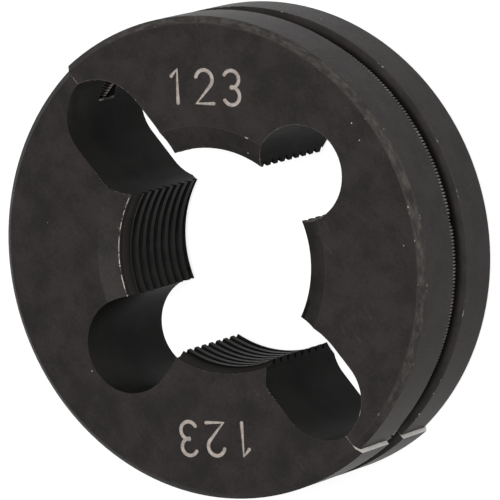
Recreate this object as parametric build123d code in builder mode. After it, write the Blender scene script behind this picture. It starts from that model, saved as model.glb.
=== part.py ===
from build123d import *
import math
import os

# A round threading die for a fine 24 mm thread, cut into two halves along a diameter
# and held shut by a garter spring that runs in a groove round its rim.
#
# Millimetres. The die lies on its plain face: z = 0 is that face and +Z its axis, with
# the marked face up. The cut runs along X, so the rear half lies at +Y and the front
# half at -Y, and the origin is at the middle of what the die stands on.

# Body
outer_diameter = 50.0
thickness = 15.3
rim_chamfer = 0.7

# The cut: the saw took this width out of the blank, so that each half's own axis now lies
# half of it past the cut, and the halves have slipped along each other by a little.
kerf = 1.48
slip = 0.43

# Thread. The bore is the flat crest of the thread, thread_height in from its full diameter,
# and the thread's grooves are cut into it.
thread_diameter = 24.0
thread_height = 0.55
back_chamfer = 1.3

# The front half's bore lies a little off the axis of its rim
front_bore_shift = 0.17
front_bore_drop = 0.27

# Countersink round the bore on the marked face, this far from flat. In the front half the
# thread's first turn is relieved: a short plain bore, then a lead-in down to the crests.
countersink_diameter = 27.7
countersink_angle = 30.0
relief_diameter = 23.9
relief_depth = 1.85
lead_depth = 2.5

# Groove for the spring, a little below mid thickness
groove_width = 3.1
groove_depth = 2.55
groove_drop = 0.3

# Garter spring: diameter over its coils, and the room under them
spring_diameter = 1.85
spring_clearance = 0.1
spring_bend = 5.0

# The two drilled flutes, one in each half, from that half's own axis
flute_diameter = 9.9
rear_flute_shift = 0.1
rear_flute_distance = 14.5
front_flute_shift = 0.45
front_flute_distance = 14.3

# The two slots along the cut. rim_wall is what they leave of the rim. Each side of a slot
# belongs to one half: wall is how far it stands from the cut, corner is where it meets
# the thread, hook is the length over which it bends in to that corner, and end is
# the length of its round end.
rim_wall = 2.1
rear_left_wall = 4.14
rear_left_corner = 3.3
rear_left_hook = 3.2
rear_left_end = 5.6
rear_right_wall = 5.0
rear_right_corner = 3.4
rear_right_hook = 5.0
rear_right_end = 4.75
front_left_wall = 4.55
front_left_corner = 3.05
front_left_hook = 3.5
front_left_end = 4.9
front_right_wall = 3.93
front_right_corner = 2.6
front_right_hook = 3.25
front_right_end = 5.0

# Worked out from the sizes above
outer_radius = outer_diameter / 2
bore_radius = thread_diameter / 2 - thread_height
countersink_radius = countersink_diameter / 2
relief_radius = relief_diameter / 2
countersink_slope = math.tan(math.radians(countersink_angle))
groove_floor = outer_radius - groove_depth
groove_middle = thickness / 2 - groove_drop
groove_low = groove_middle - groove_width / 2
groove_high = groove_middle + groove_width / 2
slot_reach = outer_radius - rim_wall
rear_axis = Axis((-slip / 2, -kerf / 2, 0), (0, 0, 1))
front_axis = Axis((slip / 2, kerf / 2, 0), (0, 0, 1))
rear_bore = rear_axis
front_bore = Axis((slip / 2 + front_bore_shift, kerf / 2 - front_bore_drop, 0), (0, 0, 1))


def section_plane(axis):
    """The plane that holds an axis and looks along the cut."""
    return Plane(origin=axis.position, x_dir=(1, 0, 0), z_dir=(0, -1, 0))


def draw_blank():
    """The turned blank's section, from its axis out to the rim and back."""
    Polyline(
        (0, 0),
        (outer_radius - rim_chamfer, 0),
        (outer_radius, rim_chamfer),
        (outer_radius, groove_low),
        (groove_floor, groove_low),
        (groove_floor, groove_high),
        (outer_radius, groove_high),
        (outer_radius, thickness - rim_chamfer),
        (outer_radius - rim_chamfer, thickness),
        (0, thickness),
        close=True,
    )


def draw_bore(relieved):
    """What the bore takes away: its chamfer at the back, its countersink on the marked
    face and, where it is relieved, the first turn of the thread."""
    if relieved:
        mouth = [
            (bore_radius, thickness - lead_depth),
            (relief_radius, thickness - relief_depth),
            (relief_radius, thickness - (countersink_radius - relief_radius) * countersink_slope),
        ]
    else:
        mouth = [(bore_radius, thickness - (countersink_radius - bore_radius) * countersink_slope)]
    Polyline(
        (0, 0),
        (bore_radius + back_chamfer, 0),
        (bore_radius, back_chamfer),
        *mouth,
        (countersink_radius, thickness),
        (0, thickness),
        close=True,
    )


def draw_slot_side(bore, way, up, wall, corner, hook, end):
    """One half's side of a slot. way is -1 for the left slot and 1 for the right one,
    and up is 1 in the rear half and -1 in the front one."""
    corner_rise = up * corner - bore.position.Y
    corner_x = bore.position.X + way * math.sqrt(bore_radius**2 - corner_rise**2)
    inside = (way * bore_radius / 2, 0)
    land_corner = (corner_x, up * corner)
    wall_start = (corner_x + way * hook, up * wall)
    wall_finish = (way * (slot_reach - end), up * wall)
    tip = (way * slot_reach, 0)
    Line(inside, land_corner)
    TangentArc(wall_start, land_corner, tangent=(-way, 0))
    Line(wall_start, wall_finish)
    TangentArc(wall_finish, tip, tangent=(way, 0))
    Line(tip, inside)


# The rear half: turned, cut off at the diameter, then drilled and slotted
rear_flute_middle = (
    rear_axis.position.X + rear_flute_shift,
    rear_axis.position.Y + rear_flute_distance,
)
with BuildPart() as rear_half:
    with BuildSketch(section_plane(rear_axis)):
        with BuildLine():
            draw_blank()
        make_face()
    revolve(axis=rear_axis)
    with BuildSketch(section_plane(rear_bore)):
        with BuildLine():
            draw_bore(relieved=False)
        make_face()
    revolve(axis=rear_bore, mode=Mode.SUBTRACT)
    split(bisect_by=Plane.XZ, keep=Keep.BOTTOM)
    with BuildSketch():
        with Locations(rear_flute_middle):
            Circle(flute_diameter / 2)
        with BuildLine():
            draw_slot_side(
                rear_bore, -1, 1, rear_left_wall, rear_left_corner, rear_left_hook, rear_left_end
            )
        make_face()
        with BuildLine():
            draw_slot_side(
                rear_bore, 1, 1, rear_right_wall, rear_right_corner, rear_right_hook, rear_right_end
            )
        make_face()
    extrude(amount=thickness, mode=Mode.SUBTRACT)
rear_half.part.label = "rear_half"

# The front half, made the same way on its own axis
front_flute_middle = (
    front_axis.position.X + front_flute_shift,
    front_axis.position.Y - front_flute_distance,
)
with BuildPart() as front_half:
    with BuildSketch(section_plane(front_axis)):
        with BuildLine():
            draw_blank()
        make_face()
    revolve(axis=front_axis)
    with BuildSketch(section_plane(front_bore)):
        with BuildLine():
            draw_bore(relieved=True)
        make_face()
    revolve(axis=front_bore, mode=Mode.SUBTRACT)
    split(bisect_by=Plane.XZ, keep=Keep.TOP)
    with BuildSketch():
        with Locations(front_flute_middle):
            Circle(flute_diameter / 2)
        with BuildLine():
            draw_slot_side(
                front_bore, -1, -1, front_left_wall, front_left_corner, front_left_hook, front_left_end
            )
        make_face()
        with BuildLine():
            draw_slot_side(
                front_bore, 1, -1, front_right_wall, front_right_corner, front_right_hook, front_right_end
            )
        make_face()
    extrude(amount=thickness, mode=Mode.SUBTRACT)
front_half.part.label = "front_half"

# The garter spring. Pulled tight, it follows the hull of the two groove floors. Its close
# coils are one solid ring here, swept in two halves.
spring_radius = spring_diameter / 2
line_radius = groove_floor + spring_clearance + spring_radius
lead_in = math.degrees(math.asin(kerf / 2 / line_radius))
with BuildSketch(Plane.XY.offset(groove_middle)) as spring_line:
    with BuildLine():
        CenterArc(rear_axis.position, line_radius, lead_in, 180 - 2 * lead_in)
        CenterArc(front_axis.position, line_radius, 180 + lead_in, 180 - 2 * lead_in)
    make_hull()
    corners = [vertex for vertex in spring_line.vertices() if abs(vertex.Y) < spring_clearance]
    fillet(corners, spring_bend)
spring_path = spring_line.sketch.face().outer_wire()

with BuildPart() as garter_spring:
    for start, finish in ((0, 0.5), (0.5, 1)):
        half_path = spring_path.trim(start, finish)
        with BuildSketch(Plane(origin=half_path @ 0, z_dir=half_path % 0)):
            Circle(spring_radius)
        sweep(path=half_path)
garter_spring.part.label = "garter_spring"

os.makedirs("parts", exist_ok=True)
export_step(rear_half.part, "parts/rear_half.step")
export_step(front_half.part, "parts/front_half.step")
export_step(garter_spring.part, "parts/garter_spring.step")
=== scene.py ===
# %% [markdown]
# # A two-piece threading die
#
# A threading die cuts a screw thread on a bar. This one was sawn in two along a diameter,
# and a garter spring in a groove round the rim holds the halves shut. The solids come from
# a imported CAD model, the frame, which fixes every size. This lesson dresses them: it cuts
# the thread, breaks the edges, winds the spring and gives each surface its finish.

# %% Load the frame
import math

import bmesh
import bpy
from mathutils import Matrix, Vector


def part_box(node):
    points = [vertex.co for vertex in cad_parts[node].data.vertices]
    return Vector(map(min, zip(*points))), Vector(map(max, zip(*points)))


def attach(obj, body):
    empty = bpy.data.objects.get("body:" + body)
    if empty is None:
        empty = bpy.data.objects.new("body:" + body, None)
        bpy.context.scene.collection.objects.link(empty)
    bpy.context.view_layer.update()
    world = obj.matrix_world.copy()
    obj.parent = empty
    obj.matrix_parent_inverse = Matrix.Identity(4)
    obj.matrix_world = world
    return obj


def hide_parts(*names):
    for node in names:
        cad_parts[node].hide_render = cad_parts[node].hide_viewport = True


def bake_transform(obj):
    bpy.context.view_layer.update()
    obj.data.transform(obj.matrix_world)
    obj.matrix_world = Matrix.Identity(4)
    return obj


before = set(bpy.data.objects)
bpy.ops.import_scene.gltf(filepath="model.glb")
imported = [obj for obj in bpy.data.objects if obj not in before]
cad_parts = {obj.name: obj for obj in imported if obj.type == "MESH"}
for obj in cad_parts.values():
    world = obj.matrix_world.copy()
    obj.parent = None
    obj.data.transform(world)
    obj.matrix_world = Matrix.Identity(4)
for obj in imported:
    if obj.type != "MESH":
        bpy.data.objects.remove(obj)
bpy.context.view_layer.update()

MM = 0.001
print("The frame holds", sorted(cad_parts))

# %% [markdown]
# ## Sizes that the dressing needs
#
# The frame gives the outline. What it doesn't state are the values behind it: where each
# half's own axis lies, the thread's form and the groove. Most are repeated here under the
# names that the CAD source gives them, in millimetres, and the rest is worked out.

# %% Sizes
outer_radius = 25.0
kerf = 1.48
slip = 0.43
thread_diameter = 24.0
thread_pitch = 1.5
thread_height = 0.55
groove_width = 3.1
groove_depth = 2.55
spring_diameter = 1.85
countersink_radius = 13.85
rim_chamfer = 0.7
spring_clearance = 0.1

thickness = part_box("rear_half")[1].z / MM
spring_low, spring_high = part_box("garter_spring")
groove_middle = (spring_low.z + spring_high.z) / 2 / MM
groove_low = groove_middle - groove_width / 2
groove_high = groove_middle + groove_width / 2
groove_floor = outer_radius - groove_depth
root_radius = thread_diameter / 2
crest_radius = root_radius - thread_height
half_axis = {
    "rear_half": Vector((-slip / 2, -kerf / 2)),
    "front_half": Vector((slip / 2, kerf / 2)),
}
front_bore_shift = Vector((0.17, -0.27))
bore_axis = {
    "rear_half": half_axis["rear_half"],
    "front_half": half_axis["front_half"] + front_bore_shift,
}
print(f"thickness {thickness:.2f}, crest radius {crest_radius:.3f}, spring at height {groove_middle:.2f}")

# %% [markdown]
# ## The camera
#
# The photograph looks down on the marked face from a long way off. Its viewpoint was solved
# from the outlines of the two rims, and is written as a direction, a distance and a roll
# about the line of sight.

# %% Camera
camera_azimuth = math.radians(155.446)
camera_elevation = math.radians(59.767)
camera_roll = math.radians(-105.808)
camera_distance = 674.5
camera_aim = Vector((2.141, 4.201, thickness))
focal_pixels = 6689.0
image_pixels = 500.0
sensor_width = 36.0
clip_near_metres = 0.05
clip_far_metres = 20.0


def make_camera():
    """A camera on the line of sight, turned about it by the roll."""
    data = bpy.data.cameras.new("camera")
    data.sensor_width = sensor_width
    data.lens = sensor_width * focal_pixels / image_pixels
    data.clip_start = clip_near_metres
    data.clip_end = clip_far_metres
    camera = bpy.data.objects.new("camera", data)
    bpy.context.scene.collection.objects.link(camera)
    back = Vector(
        (
            math.sin(camera_azimuth) * math.cos(camera_elevation),
            -math.cos(camera_azimuth) * math.cos(camera_elevation),
            math.sin(camera_elevation),
        )
    )
    right = Vector((0, 0, 1)).cross(back).normalized()
    up = back.cross(right)
    level = Matrix((right, up, back)).transposed()
    turned = level @ Matrix.Rotation(camera_roll, 3, "Z")
    place = (camera_aim + back * camera_distance) * MM
    camera.matrix_world = Matrix.Translation(place) @ turned.to_4x4()
    bpy.context.scene.camera = camera
    return camera


camera = make_camera()
print("camera at", tuple(round(c, 4) for c in camera.matrix_world.translation))

# %% [markdown]
# ## Shader maths as Python
#
# A material here is mostly arithmetic on positions and noise. A small class wraps a socket
# so that an expression such as 1 - mask * 0.5 adds the Math nodes it needs. One function
# adds every node, here and later for the spring.


# %% Shader helpers
def add_node(tree, kind, settings=None, inputs=None):
    """Adds one node with its settings and its inputs' values or links."""
    node = tree.nodes.new(kind)
    for key, setting in (settings or {}).items():
        setattr(node, key, setting)
    for key, value in (inputs or {}).items():
        value = getattr(value, "socket", value)
        if isinstance(value, bpy.types.NodeSocket):
            tree.links.new(value, node.inputs[key])
        else:
            node.inputs[key].default_value = value
    return node


class Value:
    """A number that varies over the surface. Python operators on it add Math nodes."""

    def __init__(self, shade, socket):
        self.shade = shade
        self.socket = socket

    def math(self, operation, *others, swap=False):
        operands = [self, *others]
        if swap:
            operands.reverse()
        settings = {"operation": operation}
        node = self.shade.node("ShaderNodeMath", settings, dict(enumerate(operands)))
        return Value(self.shade, node.outputs[0])

    def __add__(self, other):
        return self.math("ADD", other)

    def __sub__(self, other):
        return self.math("SUBTRACT", other)

    def __rsub__(self, other):
        return self.math("SUBTRACT", other, swap=True)

    def __mul__(self, other):
        return self.math("MULTIPLY", other)

    def __pow__(self, other):
        return self.math("POWER", other)

    def __abs__(self):
        return self.math("ABSOLUTE")

    __radd__ = __add__
    __rmul__ = __mul__

    def largest(self, other):
        return self.math("MAXIMUM", other)

    def smallest(self, other):
        return self.math("MINIMUM", other)

    def step(self, low, high):
        """0 below low, 1 above high and smooth between; falling if low is above high."""
        falling = low > high
        settings = {"interpolation_type": "SMOOTHSTEP", "clamp": True}
        ends = {"From Min": min(low, high), "From Max": max(low, high)}
        ends.update({"To Min": 1.0 if falling else 0.0, "To Max": 0.0 if falling else 1.0})
        node = self.shade.node("ShaderNodeMapRange", settings, {"Value": self, **ends})
        return Value(self.shade, node.outputs["Result"])

    def band(self, rise, full, fall, gone):
        """0 below rise, 1 from full to fall and 0 above gone."""
        return self.step(rise, full) * self.step(gone, fall)


class Shade:
    """One material's node tree, with positions in millimetres from Object coordinates."""

    def __init__(self, name):
        self.material = bpy.data.materials.new(name)
        self.material.use_nodes = True
        self.tree = self.material.node_tree
        self.tree.nodes.clear()

    def node(self, kind, settings=None, inputs=None):
        return add_node(self.tree, kind, settings, inputs)

    def position(self, stretch=(1, 1, 1), centre=(0, 0, 0)):
        """Object coordinates in millimetres from a centre, then stretched."""
        coordinates = self.node("ShaderNodeTexCoord").outputs["Object"]
        scale = [s / MM for s in stretch]
        shift = [-c * s for c, s in zip(centre, stretch)]
        inputs = {"Vector": coordinates, "Scale": scale, "Location": shift}
        return self.node("ShaderNodeMapping", {"vector_type": "POINT"}, inputs).outputs[0]

    def parts(self, vector):
        node = self.node("ShaderNodeSeparateXYZ", None, {0: vector})
        return [Value(self, output) for output in node.outputs]

    def noise(self, vector, scale, detail=3.0, roughness=0.5):
        inputs = {"Vector": vector, "Scale": scale, "Detail": detail, "Roughness": roughness}
        return Value(self, self.node("ShaderNodeTexNoise", None, inputs).outputs["Fac"])

    def dots(self, vector, scale):
        """Distance to the nearest of scattered points, and a random number for each point."""
        node = self.node("ShaderNodeTexVoronoi", None, {"Vector": vector, "Scale": scale})
        chance = self.node("ShaderNodeSeparateColor", None, {0: node.outputs["Color"]})
        return Value(self, node.outputs["Distance"]), Value(self, chance.outputs[0])

    def mix(self, factor, low, high):
        """A colour between two colours."""
        inputs = {0: factor, 6: low, 7: high}
        return self.node("ShaderNodeMix", {"data_type": "RGBA"}, inputs).outputs[2]

    def bump(self, height, distance, strength):
        inputs = {"Height": height, "Distance": distance * MM, "Strength": strength}
        return self.node("ShaderNodeBump", None, inputs).outputs[0]

    def finish(self, **inputs):
        """The surface itself. Names are the shader's sockets with _ for a space."""
        named = {key.replace("_", " "): value for key, value in inputs.items()}
        surface = self.node("ShaderNodeBsdfPrincipled", None, named).outputs[0]
        self.node("ShaderNodeOutputMaterial", None, {"Surface": surface})
        return self.material


def colour(red, green, blue):
    """A colour as the eye reads it, 0 to 255, made linear."""
    linear = []
    for part in (red, green, blue):
        share = part / 255
        linear.append(share / 12.92 if part <= 10 else ((share + 0.055) / 1.055) ** 2.4)
    return (*linear, 1.0)


print("helpers ready")

# %% [markdown]
# ## Black oxide
#
# The die was blackened after hardening: a thin dark skin with brownish clouds in it, a few
# bare specks where it has been knocked, and hair-fine scratches. It is bare along the mouth
# of one land. A painted highlight in streaks lies along the rear half's rim chamfer, and a
# faint painted light along the groove's lower lip. The rim is browner and darker where y is
# below 8 mm, and painted shade darkens the groove beside the spring. A picture wrapped round
# the die could show all that. Noise in Object coordinates does it without seams or
# unwrapping, and masks made from positions say where each kind of wear and painted light
# lies. The skin is nearly matt, so that it stays dark beside a white floor.

# %% Black oxide
oxide_dark = colour(47, 45, 44)
oxide_light = colour(60, 56, 55)
# Painted shade for the deep groove beside the spring
groove_shade_tone = colour(16, 15, 14)
rim_low_y_tone = colour(44, 39, 36)
bare_steel = colour(205, 198, 190)
mouth_depth = 1.3
lip_width = 0.1


def own_radius(place_x, place_y):
    """Distance from a half's own rim axis. The front half's axis is the rear half's, turned
    half round the middle, so the front half's points are turned the same way first."""
    side = place_y.math("SIGN")
    across = place_x * side + slip / 2
    along = abs(place_y) + kerf / 2
    return (across * across + along * along) ** 0.5


def make_oxide():
    shade = Shade("black_oxide")
    place = shade.position()
    clouds = shade.noise(place, 0.35, detail=4.0, roughness=0.6)
    grain = shade.noise(place, 3.0, detail=2.0)
    tone = (clouds * 0.7 + grain * 0.3).step(0.32, 0.68)
    distance, chance = shade.dots(place, 0.55)
    specks = distance.step(0.06, 0.02) * chance.step(0.84, 0.86)
    place_x, place_y, height = shade.parts(place)
    centre = bore_axis["front_half"]
    across, along = place_x - centre.x, place_y - centre.y
    radius = (across * across + along * along) ** 0.5
    mouth = radius.step(root_radius + 0.04, root_radius + 0.01)
    mouth = mouth * height.step(thickness - mouth_depth, thickness - mouth_depth + 0.1)
    front_left = across.step(-2.0, -4.0) * along.step(-3.9, -4.3)
    rubbed = mouth * front_left * shade.noise(place, 2.2, detail=2.0, roughness=0.6).step(0.4, 0.52)
    scratch_field = shade.noise(shade.position((0.09, 2.4, 0.3)), 1.0, detail=2.0, roughness=0.4)
    scratches = abs(scratch_field - 0.5).step(0.005, 0.001)
    scratches = scratches * shade.noise(place, 0.22).step(0.55, 0.68)
    skin = shade.mix(tone, oxide_dark, oxide_light)
    reach = own_radius(place_x, place_y)
    groove = height.band(groove_low - 0.3, groove_low - 0.1, groove_high + 0.1, groove_high + 0.3)
    # Painted shade: darker deep in the groove, towards the spring
    groove_painted_shade = groove * reach.step(outer_radius - 0.5, outer_radius - 1.1)
    skin = shade.mix(groove_painted_shade * 0.85, skin, groove_shade_tone)
    # Browner and darker on the rim where y is below 8 mm, fading out by 20 mm
    rim_low_y = reach.step(outer_radius - 0.1, outer_radius - 0.02) * place_y.step(20.0, 8.0)
    skin = shade.mix(rim_low_y * 0.75, skin, rim_low_y_tone)
    # Painted highlight: light streaks along the rear half's rim chamfer
    streaks = shade.noise(shade.position((0.8, 0.8, 2.5)), 1.0, roughness=0.6).step(0.35, 0.7)
    chamfer_highlight = reach.step(outer_radius - rim_chamfer - 0.04, outer_radius - rim_chamfer + 0.04)
    chamfer_highlight = chamfer_highlight * height.step(thickness - rim_chamfer - 0.06, thickness - rim_chamfer)
    chamfer_highlight = chamfer_highlight * place_y.step(0.0, 9.0) * (streaks * 0.08 + 0.015)
    # Painted light: a faint light band along the groove's lower lip
    lower_lip_light = height.band(groove_low - 0.05, groove_low - 0.02, groove_low + 0.05, groove_low + lip_width)
    lower_lip_light = lower_lip_light * reach.step(outer_radius - 1.4, outer_radius - 0.6) * 0.02
    # Real specks, scratches and the bare mouth, with the painted highlight and lip light
    wear_and_highlights = (specks + scratches * 0.08 + rubbed * 0.8 + chamfer_highlight + lower_lip_light).smallest(1.0)
    return shade.finish(
        Base_Color=shade.mix(wear_and_highlights, skin, bare_steel),
        Specular_IOR_Level=0.05,
        Metallic=wear_and_highlights * 0.3,
        Roughness=0.5 - grain * 0.12 - wear_and_highlights * 0.1,
        Normal=shade.bump(grain * 0.5 + clouds * 0.5 - specks, distance=0.02, strength=0.6),
    )


oxide = make_oxide()
print("made", oxide.name)

# %% [markdown]
# ## Drilled flutes
#
# The flutes were drilled and reamed, then blackened, and the slots are finished the same
# way. The walls are painted darker than the faces as shade inside the holes, and lighter
# towards the marked face as painted light, with faint streaks straight down the hole and a
# painted sheen near the marked face at a slot's outer end. Where a slot's end breaks into
# the groove, the thin edges are partly bare. The skin's material could serve here too, but
# the walls take a deeper black as painted shade and their own way of the tool, so they
# have their own.


# %% Flute walls
# Painted shade: the walls' tones are darker than the skin's, for the shade inside the holes
wall_dark = colour(12, 12, 11)
wall_light = colour(34, 33, 31)
painted_sheen_tone = colour(66, 64, 62)


def make_flute():
    shade = Shade("shaded_flute_wall")
    streaks = shade.noise(shade.position((1.6, 1.6, 0.12)), 1.0)
    rings = shade.noise(shade.position((0.25, 0.25, 5.0)), 1.0, detail=2.0)
    clouds = shade.noise(shade.position(), 0.3)
    place_x, place_y, height = shade.parts(shade.position())
    # Painted light: the walls are lighter towards the marked face and darker deeper in the hole
    mouth = height.step(thickness * 0.45, thickness) * 0.25
    tone = (streaks * 0.35 + clouds * 0.65 + mouth).step(0.38, 0.8)
    reach = own_radius(place_x, place_y)
    # A painted sheen near the marked face at a slot's outer end
    painted_sheen = reach.step(20.3, 22.6) * height.step(thickness - 5.0, thickness - 1.5)
    painted_sheen = painted_sheen * clouds.step(0.3, 0.6)
    wall = shade.mix(tone, wall_dark, wall_light)
    wall = shade.mix(painted_sheen * 0.45, wall, painted_sheen_tone)
    feather = reach.step(groove_floor - 0.13, groove_floor - 0.09)
    feather = feather * (streaks + clouds).step(0.75, 0.95)
    feather = feather * height.band(groove_low, groove_low + 0.1, groove_high - 0.1, groove_high)
    return shade.finish(
        Base_Color=shade.mix(feather * 0.8, wall, bare_steel),
        Specular_IOR_Level=0.03,
        Metallic=0.0,
        Roughness=0.42 + streaks * 0.15,
        Normal=shade.bump(streaks * 0.6 + rings * 0.4, distance=0.03, strength=0.7),
    )


shaded_flute_wall = make_flute()
print("made", shaded_flute_wall.name)

# %% [markdown]
# ## The sawn faces
#
# The two faces that meet were ground after the cut, so they are bare and pale, with fine
# straight lines along the cut. Their near-white colour is partly the bare steel's own and
# partly a painted reflection of the white floor. The lines could be grooves in the mesh, but
# they are far finer than a pixel, so noise that is drawn out along the cut is enough.


# %% Ground steel
# Pale steel with a painted reflection of the white floor
ground_and_reflection_dark = colour(236, 231, 224)
ground_and_reflection_light = colour(252, 249, 244)


def make_ground():
    shade = Shade("ground_steel")
    lines = shade.noise(shade.position((0.15, 1.0, 14.0)), 1.0, roughness=0.6)
    clouds = shade.noise(shade.position(), 0.6)
    tone = clouds.step(0.3, 0.7)
    return shade.finish(
        Base_Color=shade.mix(tone, ground_and_reflection_dark, ground_and_reflection_light),
        Metallic=0.05,
        Roughness=0.35 + lines * 0.2,
        Normal=shade.bump(lines, distance=0.01, strength=0.5),
    )


ground = make_ground()
print("made", ground.name)

# %% [markdown]
# ## Broken edges
#
# Every sharp edge gets a narrow bevel in its own material. The skin is thinnest there and
# rubs through first, in runs, nicks and dents, so noise mixes bare steel into the black:
# most of it at the front half's slot corners and where the slots break into the groove,
# and least round the rim and the countersink. The wear could be painted by hand, but the
# bevel marks every edge by itself, also after a change of shape.


# %% Worn edges
edge_tone = colour(86, 81, 78)
rim_edge_tone = colour(60, 56, 55)
ring_width = 1.0


def make_edge():
    shade = Shade("worn_edge")
    place = shade.position()
    across, along, height = shade.parts(place)
    radius = own_radius(across, along)
    runs = shade.noise(place, 0.45, detail=2.0)
    nicks = shade.noise(place, 2.6, detail=2.0, roughness=0.6)
    on_face = height.step(thickness - 0.3, thickness - 0.1)
    by_hook = radius.step(17.5, 15.5) * abs(across).step(6.0, 9.0) * along.step(0.0, -1.0)
    by_hook = by_hook * height.step(thickness - 2.0, thickness - 1.6)
    window = radius.band(groove_floor - 0.7, groove_floor - 0.5, groove_floor + 0.6, groove_floor + 0.8)
    window = window * height.step(thickness - 2.0, thickness - 4.0)
    outside = radius.step(groove_floor + 0.9, groove_floor + 1.2)
    ring_low = countersink_radius - ring_width / 2
    ring_high = countersink_radius + ring_width / 2
    ring = radius.band(ring_low, ring_low + 0.1, ring_high - 0.1, ring_high) * on_face
    bare = runs * 0.55 + nicks * 0.45 - 0.05
    bare = bare + by_hook * 0.16 + window * 0.2 - outside * 0.05 - ring * 0.2
    distance, chance = shade.dots(place, 0.8)
    dents = distance.step(0.24, 0.14) * chance.step(0.6, 0.62) * (1.0 - outside)
    bare = bare.step(0.5, 0.6).largest(dents)
    dull = shade.mix(outside.largest(ring), edge_tone, rim_edge_tone)
    return shade.finish(
        Base_Color=shade.mix(bare, dull, bare_steel),
        Specular_IOR_Level=0.1,
        Metallic=bare * 0.3,
        Roughness=0.45 - bare * 0.1,
    )


worn_edge = make_edge()
print("made", worn_edge.name)

# %% [markdown]
# ## The thread
#
# The thread's flanks are dark with oil and oxide; painted light makes them lighter in the lead-in at the
# mouth.
# The crests do the cutting, so they are rubbed a little brighter. A point's distance from
# its half's own bore axis says how near the crest it lies, so each half has its own
# thread material. Faces could be picked out one by one instead, but a mask by distance
# fades as real wear does.


# %% Thread material
flank_dark = colour(17, 17, 16)
flank_light = colour(25, 24, 23)
lead_in_light_tone = colour(46, 44, 42)
lead_in_low = thickness - 2.8
lead_in_high = thickness - 1.9


def make_thread(name, axis):
    shade = Shade(name)
    across, along, height = shade.parts(shade.position(centre=(axis.x, axis.y, 0)))
    radius = (across * across + along * along) ** 0.5
    crest = radius.step(crest_radius + 0.12, crest_radius + 0.02)
    wear = shade.noise(shade.position(), 1.1, detail=2.0).step(0.42, 0.62)
    tone = shade.noise(shade.position((1, 1, 0.4)), 0.5).step(0.35, 0.65)
    flank = shade.mix(tone, flank_dark, flank_light)
    # Painted light: the flanks are lighter in the lead-in near the marked face
    lead_in_light = height.step(lead_in_low, lead_in_high)
    flank = shade.mix(lead_in_light, flank, lead_in_light_tone)
    return shade.finish(
        Base_Color=shade.mix(crest * wear * 0.008, flank, bare_steel),
        Specular_IOR_Level=0.03,
        Metallic=crest * 0.1,
        Roughness=0.45,
    )


thread_material = {}
for node, axis in bore_axis.items():
    thread_material[node] = make_thread("thread_" + node, axis)
print("made", [m.name for m in thread_material.values()])

# %% [markdown]
# ## The engraved numbers
#
# A plain matching number is cut through the skin on each half, so that a pair stays a pair.
# The cutter left bare metal, matt and pale. It could be painted on the skin. It has a
# material of its own, because the cut further down gives each figure its own faces.


# %% Engraved metal
mark_dark = colour(176, 166, 160)
mark_light = colour(204, 194, 187)


def make_engraved():
    shade = Shade("engraved")
    clouds = shade.noise(shade.position(), 2.0).step(0.3, 0.7)
    return shade.finish(
        Base_Color=shade.mix(clouds, mark_dark, mark_light),
        Metallic=0.25,
        Roughness=0.5,
    )


engraved = make_engraved()
print("made", engraved.name)

# %% [markdown]
# ## A clean copy of each half
#
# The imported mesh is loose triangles. A copy is merged, and its flat faces are dissolved to
# single ones, so that a bevel can run along every real edge. The original stays as it is,
# hidden, and still stands for the collision shape.

# %% Clean copies
SKIN, FLUTE, GROUND, EDGE, THREAD, MARK = range(6)
merge_distance = 0.0005
flat_angle = 0.5
cut_reach = 0.005
bore_margin = 0.3
rim_margin = 0.9

# How squarely a face has to look in a direction, as a cosine
squarely = 0.99
nearly = 0.9
mostly = 0.7
hardly = 0.3


def face_kind(centre, normal, axis):
    """Which finish a face of a half takes, from where it lies and which way it looks. The
    bore looks in at the axis, the rim out from it, and a flute's wall neither up nor out."""
    flat = Vector((centre.x / MM - axis.x, centre.y / MM - axis.y))
    radius = flat.length
    outwards = (flat.x * normal.x + flat.y * normal.y) / radius
    if abs(normal.y) > squarely and abs(centre.y) < cut_reach * MM:
        return GROUND
    if radius < root_radius + bore_margin and outwards < -mostly:
        return THREAD
    if abs(normal.z) < hardly and outwards < nearly and radius < outer_radius - rim_margin:
        return FLUTE
    return SKIN


def clean_copy(node):
    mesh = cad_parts[node].data.copy()
    mesh.name = "dressed_" + node
    mesh.materials.clear()
    for material in (oxide, shaded_flute_wall, ground, worn_edge, thread_material[node], engraved):
        mesh.materials.append(material)
    work = bmesh.new()
    work.from_mesh(mesh)
    bmesh.ops.remove_doubles(work, verts=work.verts, dist=merge_distance * MM)
    limit = math.radians(flat_angle)
    bmesh.ops.dissolve_limit(work, angle_limit=limit, verts=work.verts, edges=work.edges)
    for face in work.faces:
        centre = face.calc_center_median()
        face.material_index = face_kind(centre, face.normal, bore_axis[node])
    open_edges = sum(1 for edge in work.edges if not edge.is_manifold)
    work.to_mesh(mesh)
    work.free()
    piece = bpy.data.objects.new("dressed_" + node, mesh)
    bpy.context.scene.collection.objects.link(piece)
    print(node, "has", len(mesh.polygons), "faces and", open_edges, "open edges")
    return piece


halves = {node: clean_copy(node) for node in half_axis}

# %% [markdown]
# ## Break the edges
#
# A Bevel modifier limited by angle finds the real edges by itself. It is applied before the
# thread is cut, because a bevel can't run along hundreds of thin flanks.

# %% Bevel
edge_width = 0.07
edge_angle = 16.0
edge_segments = 2


def applied(piece):
    """Gives the piece its modified mesh and removes the modifiers."""
    graph = bpy.context.evaluated_depsgraph_get()
    mesh = bpy.data.meshes.new_from_object(piece.evaluated_get(graph), depsgraph=graph)
    piece.modifiers.clear()
    piece.data = mesh
    return mesh


def break_edges(piece):
    bevel = piece.modifiers.new("bevel", "BEVEL")
    bevel.width = edge_width * MM
    bevel.segments = edge_segments
    bevel.limit_method = "ANGLE"
    bevel.angle_limit = math.radians(edge_angle)
    bevel.material = EDGE
    bevel.miter_outer = "MITER_ARC"
    print(piece.name, "has", len(applied(piece).polygons), "faces with its edges broken")


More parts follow.
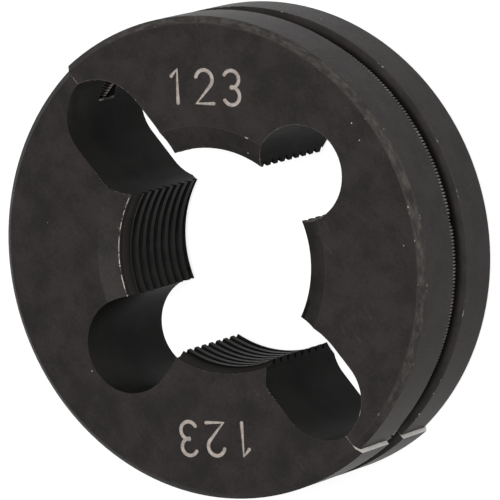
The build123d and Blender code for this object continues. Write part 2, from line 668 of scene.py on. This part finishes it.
for piece in halves.values():
    break_edges(piece)

# %% [markdown]
# ## Cut the thread
#
# A tap cuts a thread with teeth that are the groove's shape. A bump in the material could
# suggest one, but the teeth stand in outline against the white bore. So the tap's work is
# done here: a helical ridge with a 60 degree section, flat at its tip, is taken away from
# the plain bore with a Boolean. It runs a turn past both faces, so the chamfers trim it as
# on a real die.

# %% Thread cutter
turn_steps = 96
tip_flat = thread_pitch / 8
flank_angle = math.radians(30.0)
thread_start = -0.51
turns_below = 1.2
cutter_bore = crest_radius - 0.25


def ring_mesh(name, rings, materials, kind):
    """A closed tube through rings of equal length, with flat ends."""
    count = len(rings[0])
    points = [point * MM for ring in rings for point in ring]
    faces = [list(range(count))[::-1], [len(points) - count + k for k in range(count)]]
    for row in range(len(rings) - 1):
        for k in range(count):
            here, right = row * count + k, row * count + (k + 1) % count
            faces.append([here, right, right + count, here + count])
    mesh = bpy.data.meshes.new(name)
    mesh.from_pydata(points, [], faces)
    work = bmesh.new()
    work.from_mesh(mesh)
    bmesh.ops.recalc_face_normals(work, faces=work.faces)
    work.to_mesh(mesh)
    work.free()
    for material in materials:
        mesh.materials.append(material)
    for polygon in mesh.polygons:
        polygon.material_index = kind
    cutter = bpy.data.objects.new(name, mesh)
    bpy.context.scene.collection.objects.link(cutter)
    return cutter


def thread_cutter(node):
    axis = bore_axis[node]
    bore_flat = tip_flat + 2 * math.tan(flank_angle) * (root_radius - cutter_bore)
    section = [
        (cutter_bore, -bore_flat / 2),
        (root_radius, -tip_flat / 2),
        (root_radius, tip_flat / 2),
        (cutter_bore, bore_flat / 2),
    ]
    first = -thread_pitch * turns_below + thread_start
    turns = math.ceil(thickness / thread_pitch) + 2
    rings = []
    for step in range(turns * turn_steps + 1):
        angle = 2 * math.pi * step / turn_steps
        rise = first + thread_pitch * step / turn_steps
        way = Vector((math.cos(angle), math.sin(angle)))
        ring = [Vector((*(axis + way * radius), rise + offset)) for radius, offset in section]
        rings.append(ring)
    return ring_mesh("thread_cutter", rings, halves[node].data.materials, THREAD)


def cut(piece, cutter, crossing=False):
    boolean = piece.modifiers.new("cut", "BOOLEAN")
    boolean.operation = "DIFFERENCE"
    boolean.solver = "EXACT"
    boolean.use_self = crossing
    boolean.material_mode = "INDEX"
    boolean.object = cutter
    mesh = applied(piece)
    bpy.data.objects.remove(cutter)
    return len(mesh.polygons)


for node, piece in halves.items():
    print(node, "has", cut(piece, thread_cutter(node)), "faces with its thread cut")

# %% [markdown]
# ## Engrave the numbers
#
# Each figure is one or two strokes of a round cutter. A Text object could give figures,
# but its strokes have square ends and upright walls. So a stroke is a flat band with round
# ends and sloping walls, sunk a little into the face and taken away with a Boolean.

# %% Engraving
figure_height = 3.4
figure_gap = 3.2
stroke_width = 0.43
stroke_depth = 0.12
wall_slope = stroke_width / 6
cutter_rise = 0.2
cap_steps = 8

# Where the middle of each half's number lies, and its turn in degrees
marks = {"rear_half": ((-13.4, 11.35), 50.0), "front_half": ((14.0, -12.1), 232.0)}


def bow(centre_x, centre_y, radius, start, finish, steps=14):
    """Points on an arc in a figure's own square, angles in degrees."""
    turn = [math.radians(start + (finish - start) * k / steps) for k in range(steps + 1)]
    return [(centre_x + radius * math.cos(a), centre_y + radius * math.sin(a)) for a in turn]


figures = [
    [[(-0.17, 0.8), (0.03, 1.0), (0.03, 0.0)]],
    [bow(0.0, 0.72, 0.28, 165, -38) + [(-0.28, 0.0), (0.3, 0.0)]],
    [bow(-0.02, 0.74, 0.26, 150, -90), bow(-0.02, 0.24, 0.27, 90, -150)],
]


def stroke_rings(points, height_low, height_high, narrow, wide):
    """Outlines of a band with round ends, the narrow one low and the wide one high."""
    rings = []
    for height, reach in ((height_low, narrow), (height_high, wide)):
        outline = []
        for order in (points, points[::-1]):
            for here, point in enumerate(order[:-1]):
                way = (order[here + 1] - point).normalized()
                before = (point - order[here - 1]).normalized() if here else way
                side = (way + before).normalized()
                outline.append(point + Vector((side.y, -side.x)) * reach)
            last = (order[-1] - order[-2]).normalized()
            for k in range(cap_steps + 1):
                angle = math.pi * (k / cap_steps - 0.5)
                around = Vector((last.y, -last.x)) * -math.sin(angle) + last * math.cos(angle)
                outline.append(order[-1] + around * reach)
        rings.append([Vector((point.x, point.y, height)) for point in outline])
    return rings


def engrave(node):
    (middle_x, middle_y), turn = marks[node]
    spin = Matrix.Rotation(math.radians(turn), 2)
    for place, strokes in enumerate(figures):
        for stroke in strokes:
            points = []
            for x, y in stroke:
                right = x * figure_height + (place - 1) * figure_gap
                up = (y - 0.5) * figure_height
                points.append(spin @ Vector((right, up)) + Vector((middle_x, middle_y)))
            half_width = stroke_width / 2
            narrow, wide = half_width - wall_slope, half_width + wall_slope
            rings = stroke_rings(points, thickness - stroke_depth, thickness + cutter_rise, narrow, wide)
            cutter = ring_mesh("figure", rings, halves[node].data.materials, MARK)
            count = cut(halves[node], cutter, crossing=True)
    print(node, "has", count, "faces with its number cut")


for node in halves:
    engrave(node)

# %% [markdown]
# ## Smooth shading and hand-over
#
# Round walls shade smoothly and real edges stay crisp, by angle. Then each half is hung on
# its CAD node's body, and the CAD node itself is hidden.

# %% Halves into the frame
smooth_angle = 14.0

for node, piece in halves.items():
    piece.data.polygons.foreach_set("use_smooth", [True] * len(piece.data.polygons))
    piece.data.set_sharp_from_angle(angle=math.radians(smooth_angle))
    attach(piece, node)
    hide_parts(node)
    print(piece.name, "rides on", node)

# %% [markdown]
# ## The garter spring
#
# A garter spring is a long close coil with its ends joined. Rings in a row could stand for
# the coils, but a coil leans as it goes round. It is a rule along a path, so Geometry Nodes
# wind it: the path is cut into even steps, each step is pushed off the path by the coil's
# radius at its own angle, and the line that results gets a round wire. One end tapers and
# screws into the other, which leaves a small waist.

# %% Spring path
line_radius = groove_floor + spring_clearance + spring_diameter / 2
arc_steps = 90


def spring_line():
    """The tight line round both groove floors: an arc about each half's axis, and straight
    runs where it bridges from one to the other."""
    axis = half_axis["rear_half"]
    corner = half_axis["front_half"].x + math.sqrt(line_radius**2 - (kerf / 2) ** 2)
    from_rear = Vector((corner, 0)) - axis
    leave = math.atan2(from_rear.y, from_rear.x) + math.acos(line_radius / from_rear.length)
    arrive = math.pi - math.asin(kerf / 2 / line_radius)
    rear = []
    for k in range(arc_steps + 1):
        angle = leave + (arrive - leave) * k / arc_steps
        rear.append(axis + Vector((math.cos(angle), math.sin(angle))) * line_radius)
    front = [-point for point in rear]
    print(f"the path has {len(rear) * 2} points")
    return rear + front


def path_object(points):
    mesh = bpy.data.meshes.new("spring_path")
    count = len(points)
    corners = [(point.x * MM, point.y * MM, groove_middle * MM) for point in points]
    mesh.from_pydata(corners, [(k, (k + 1) % count) for k in range(count)], [])
    path = bpy.data.objects.new("winding", mesh)
    bpy.context.scene.collection.objects.link(path)
    return path


print(f"the spring's line is {line_radius:.3f} from each half's axis")

# %% [markdown]
# ### Spring steel
#
# The wire is drawn and hardened, dark grey with a metal's sheen. One even finish is enough,
# because each coil catches the light by its own shape.


# %% Spring material
wire_dark = colour(72, 69, 65)
wire_light = colour(108, 104, 98)


def make_spring_steel():
    shade = Shade("spring_steel")
    clouds = shade.noise(shade.position(), 0.4).step(0.3, 0.7)
    return shade.finish(
        Base_Color=shade.mix(clouds, wire_dark, wire_light),
        Metallic=0.85,
        Roughness=0.32,
    )


spring_steel = make_spring_steel()
print("made", spring_steel.name)

# %% Winding tree
wire_diameter = 0.32
coil_pitch = 0.34
coil_steps = 14
wire_sides = 6
joint_angle = math.radians(59.0)
waist_share = 0.16
waist_near = 0.25
waist_far = 0.9


def winding_tree():
    tree = bpy.data.node_groups.new("wind_spring", "GeometryNodeTree")
    face = tree.interface
    face.new_socket("Geometry", in_out="INPUT", socket_type="NodeSocketGeometry")
    for name in ("Coil radius", "Wire radius", "Waist"):
        face.new_socket(name, in_out="INPUT", socket_type="NodeSocketFloat")
    for name in ("Coils", "Steps per coil"):
        face.new_socket(name, in_out="INPUT", socket_type="NodeSocketInt")
    face.new_socket("Joint", in_out="INPUT", socket_type="NodeSocketVector")
    face.new_socket("Material", in_out="INPUT", socket_type="NodeSocketMaterial")
    face.new_socket("Geometry", in_out="OUTPUT", socket_type="NodeSocketGeometry")
    given = add_node(tree, "NodeGroupInput").outputs

    def first(kind, settings=None, **inputs):
        """Adds a node and gives its first output. Names have _ for a space."""
        named = {key.replace("_", " "): value for key, value in inputs.items()}
        return add_node(tree, kind, settings, named).outputs[0]

    def number(operation, *values):
        settings = {"operation": operation}
        return add_node(tree, "ShaderNodeMath", settings, dict(enumerate(values))).outputs[0]

    def vector(operation, *values):
        settings = {"operation": operation}
        made = add_node(tree, "ShaderNodeVectorMath", settings, dict(enumerate(values)))
        return made.outputs["Value" if operation == "DISTANCE" else "Vector"]

    def scaled(direction, amount):
        inputs = {0: direction, "Scale": amount}
        return add_node(tree, "ShaderNodeVectorMath", {"operation": "SCALE"}, inputs).outputs[0]

    line = first("GeometryNodeMeshToCurve", Mesh=given["Geometry"])
    total = number("MULTIPLY", given["Coils"], given["Steps per coil"])
    even = first("GeometryNodeResampleCurve", Curve=line, Count=total)
    turns = number("DIVIDE", first("GeometryNodeInputIndex"), given["Steps per coil"])
    angle = number("MULTIPLY", turns, 2 * math.pi)
    outwards = vector("CROSS_PRODUCT", first("GeometryNodeInputTangent"), (0, 0, 1))
    away = vector("DISTANCE", first("GeometryNodeInputPosition"), given["Joint"])
    near = first(
        "ShaderNodeMapRange",
        {"interpolation_type": "SMOOTHSTEP"},
        Value=away,
        From_Min=waist_near * MM,
        From_Max=waist_far * MM,
        To_Min=1.0,
        To_Max=0.0,
    )
    share = number("SUBTRACT", 1.0, number("MULTIPLY", near, given["Waist"]))
    radius = number("MULTIPLY", given["Coil radius"], share)
    push_out = scaled(outwards, number("MULTIPLY", radius, number("COSINE", angle)))
    push_up = scaled((0, 0, 1), number("MULTIPLY", radius, number("SINE", angle)))
    offset = vector("ADD", push_out, push_up)
    wound = first("GeometryNodeSetPosition", Geometry=even, Offset=offset)
    section = first(
        "GeometryNodeCurvePrimitiveCircle", Resolution=wire_sides, Radius=given["Wire radius"]
    )
    wire = first("GeometryNodeCurveToMesh", Curve=wound, Profile_Curve=section)
    real = first("GeometryNodeRealizeInstances", Geometry=wire)
    dressed = first("GeometryNodeSetMaterial", Geometry=real, Material=given["Material"])
    add_node(tree, "NodeGroupOutput", None, {"Geometry": dressed})
    return tree


def set_input(modifier, name, value):
    for socket in modifier.node_group.interface.items_tree:
        if socket.name == name and socket.in_out == "INPUT":
            modifier[socket.identifier] = value


# %% Wind the spring
points = spring_line()
spring = path_object(points)
length = sum((points[k] - points[k - 1]).length for k in range(len(points)))
coils = round(length / coil_pitch)
joint_way = Vector((math.cos(joint_angle), math.sin(joint_angle)))
joint_place = half_axis["rear_half"] + joint_way * line_radius
winding = spring.modifiers.new("winding", "NODES")
winding.node_group = winding_tree()
set_input(winding, "Coil radius", (spring_diameter - wire_diameter) / 2 * MM)
set_input(winding, "Wire radius", wire_diameter / 2 * MM)
set_input(winding, "Waist", waist_share)
set_input(winding, "Coils", coils)
set_input(winding, "Steps per coil", coil_steps)
set_input(winding, "Joint", (joint_place.x * MM, joint_place.y * MM, groove_middle * MM))
set_input(winding, "Material", spring_steel)
applied(spring)
spring.name = "wound_spring"
spring.data.polygons.foreach_set("use_smooth", [True] * len(spring.data.polygons))
print(f"{coils} coils on {length:.1f} mm, {len(spring.data.polygons)} faces")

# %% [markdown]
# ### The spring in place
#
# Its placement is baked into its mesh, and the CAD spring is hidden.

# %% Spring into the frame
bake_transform(spring)
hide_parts("garter_spring")

# %% [markdown]
# ## Floor and light
#
# The die lies on a plain white floor that keeps its shadow. The main lamp stands beside the
# camera, so that the faces that look at it are lit evenly and the walls stay dark. A weak
# one over the upper right lights the rim. Their places are told from the camera: right, up
# and towards it.


# %% Floor
floor_reach_metres = 3.0
floor_grey = 0.45
floor_glow = 0.8


def make_floor():
    mesh = bpy.data.meshes.new("floor")
    far = floor_reach_metres
    mesh.from_pydata([(-far, -far, 0), (far, -far, 0), (far, far, 0), (-far, far, 0)], [], [(0, 1, 2, 3)])
    floor = bpy.data.objects.new("floor", mesh)
    bpy.context.scene.collection.objects.link(floor)
    shade = Shade("floor_white")
    rays = shade.node("ShaderNodeLightPath").outputs
    seen = Value(shade, rays["Is Camera Ray"]).largest(Value(shade, rays["Is Glossy Ray"]))
    seen = seen.largest(Value(shade, rays["Is Transmission Ray"]))
    grey = (floor_grey, floor_grey, floor_grey, 1)
    light = {"Color": (1, 1, 1, 1), "Strength": seen * floor_glow}
    matt = shade.node("ShaderNodeBsdfDiffuse", None, {"Color": grey})
    glow = shade.node("ShaderNodeEmission", None, light)
    both = shade.node("ShaderNodeAddShader", None, {0: matt.outputs[0], 1: glow.outputs[0]})
    shade.node("ShaderNodeOutputMaterial", None, {"Surface": both.outputs[0]})
    mesh.materials.append(shade.material)
    print("floor", 2 * far, "m across")


make_floor()

# %% Lamps
lamp_reach_metres = 0.6
sky_strength = 0.2


def soft_lamp(name, right, up, near, size, power):
    """A round lamp that looks at the die. Its place is told from the camera's own axes."""
    data = bpy.data.lights.new(name, "AREA")
    data.shape = "DISK"
    data.size = size
    data.energy = power
    lamp = bpy.data.objects.new(name, data)
    bpy.context.scene.collection.objects.link(lamp)
    turn = camera.matrix_world.to_3x3()
    way = (turn @ Vector((right, up, near))).normalized()
    middle = Vector((0, 0, thickness / 2 * MM))
    aimed = way.to_track_quat("Z", "Y").to_matrix().to_4x4()
    lamp.matrix_world = Matrix.Translation(middle + way * lamp_reach_metres) @ aimed
    print("lamp", name, power, "W")


soft_lamp("above", right=0.5, up=1.0, near=1.0, size=0.5, power=0.6)
soft_lamp("beside_camera", right=-0.18, up=0.0, near=1.0, size=0.4, power=2.6)


def light_world():
    world = bpy.data.worlds.new("studio")
    world.use_nodes = True
    world.node_tree.nodes.clear()
    sky = {"Color": (1, 1, 1, 1), "Strength": sky_strength}
    back = add_node(world.node_tree, "ShaderNodeBackground", None, sky)
    add_node(world.node_tree, "ShaderNodeOutputWorld", None, {"Surface": back.outputs[0]})
    bpy.context.scene.world = world


light_world()
bpy.context.scene.view_settings.view_transform = "Standard"
